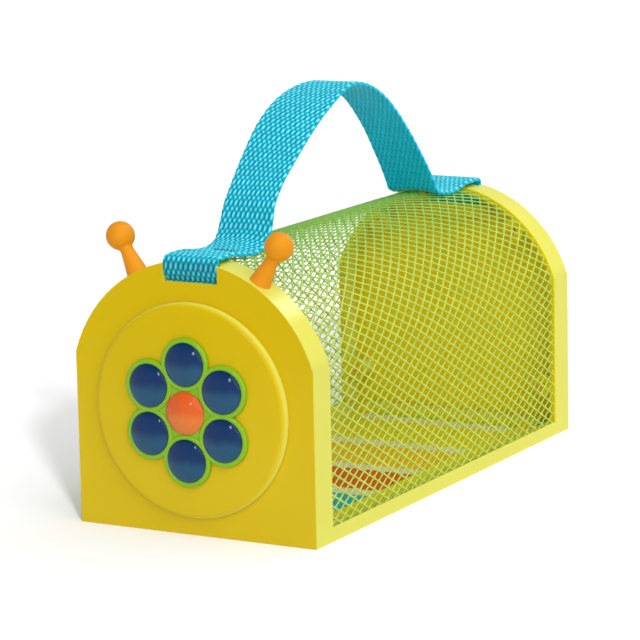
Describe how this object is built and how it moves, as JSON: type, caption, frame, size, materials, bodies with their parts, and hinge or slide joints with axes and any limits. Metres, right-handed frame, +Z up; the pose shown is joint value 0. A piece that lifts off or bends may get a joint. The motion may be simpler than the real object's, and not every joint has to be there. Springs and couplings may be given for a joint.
{
  "type": "toy bug house",
  "caption": "Arched toy cage for insects: moulded end panels, mesh cover, striped floor, webbing carrying strap, antennae and a round swivelling door with a flower.",
  "frame": {"origin": "middle of the flat underside of the base tray", "axes": "+Z up, Y along the length with the door at -Y, X across the width"},
  "size_m": [0.112, 0.2518, 0.1724],
  "materials": {
    "yellow_plastic": "satin moulded",
    "orange_plastic": "satin moulded",
    "green_plastic": "gloss moulded",
    "navy_plastic": "polished dome",
    "red_plastic": "polished dome",
    "mesh_green": "coated diamond mesh",
    "blue_webbing": "woven webbing",
    "striped_card": "printed card",
    "zinc_steel": "zinc plated"
  },
  "bodies": {
    "house": {"front_panel": "yellow_plastic", "rear_panel": "yellow_plastic", "front_inner_frame": "yellow_plastic", "rear_inner_frame": "yellow_plastic", "base_tray": "yellow_plastic", "front_strap_clamp": "yellow_plastic", "rear_strap_clamp": "yellow_plastic", "antenna_left": "orange_plastic", "antenna_right": "orange_plastic", "mesh_cover": "mesh_green", "strap_front_run": "blue_webbing", "strap_rear_run": "blue_webbing", "floor_card": "striped_card", "front_frame_screw_1": "zinc_steel", "front_frame_screw_2": "zinc_steel", "front_frame_screw_3": "zinc_steel", "front_frame_screw_4": "zinc_steel", "rear_frame_screw_1": "zinc_steel", "rear_frame_screw_2": "zinc_steel", "rear_frame_screw_3": "zinc_steel", "rear_frame_screw_4": "zinc_steel", "front_clamp_screw_left": "zinc_steel", "front_clamp_screw_right": "zinc_steel", "rear_clamp_screw_left": "zinc_steel", "rear_clamp_screw_right": "zinc_steel", "front_base_screw_left": "zinc_steel", "front_base_screw_right": "zinc_steel", "rear_base_screw_left": "zinc_steel", "rear_base_screw_right": "zinc_steel"},
    "door": {"door_disc": "yellow_plastic", "door_keeper": "yellow_plastic", "door_pivot_screw": "zinc_steel", "flower_plate": "green_plastic", "flower_centre": "red_plastic", "flower_petal_1": "navy_plastic", "flower_petal_2": "navy_plastic", "flower_petal_3": "navy_plastic", "flower_petal_4": "navy_plastic", "flower_petal_5": "navy_plastic", "flower_petal_6": "navy_plastic"},
    "strap_handle": {"strap_loop": "blue_webbing"}
  },
  "joints": [
    {"name": "door_swivel", "type": "hinge", "parent": "house", "child": "door", "pos_m": [0, -0.12, 0.0862], "axis": [0, 1, 0], "range_deg": [-120, 120]},
    {"name": "strap_sway", "type": "hinge", "parent": "house", "child": "strap_handle", "pos_m": [0, 0, 0.1147], "axis": [0, 1, 0], "range_deg": [-35, 35], "stiffness_Nm_per_rad": 0.02, "deforming": ["strap_front_run", "strap_rear_run"]}
  ]
}
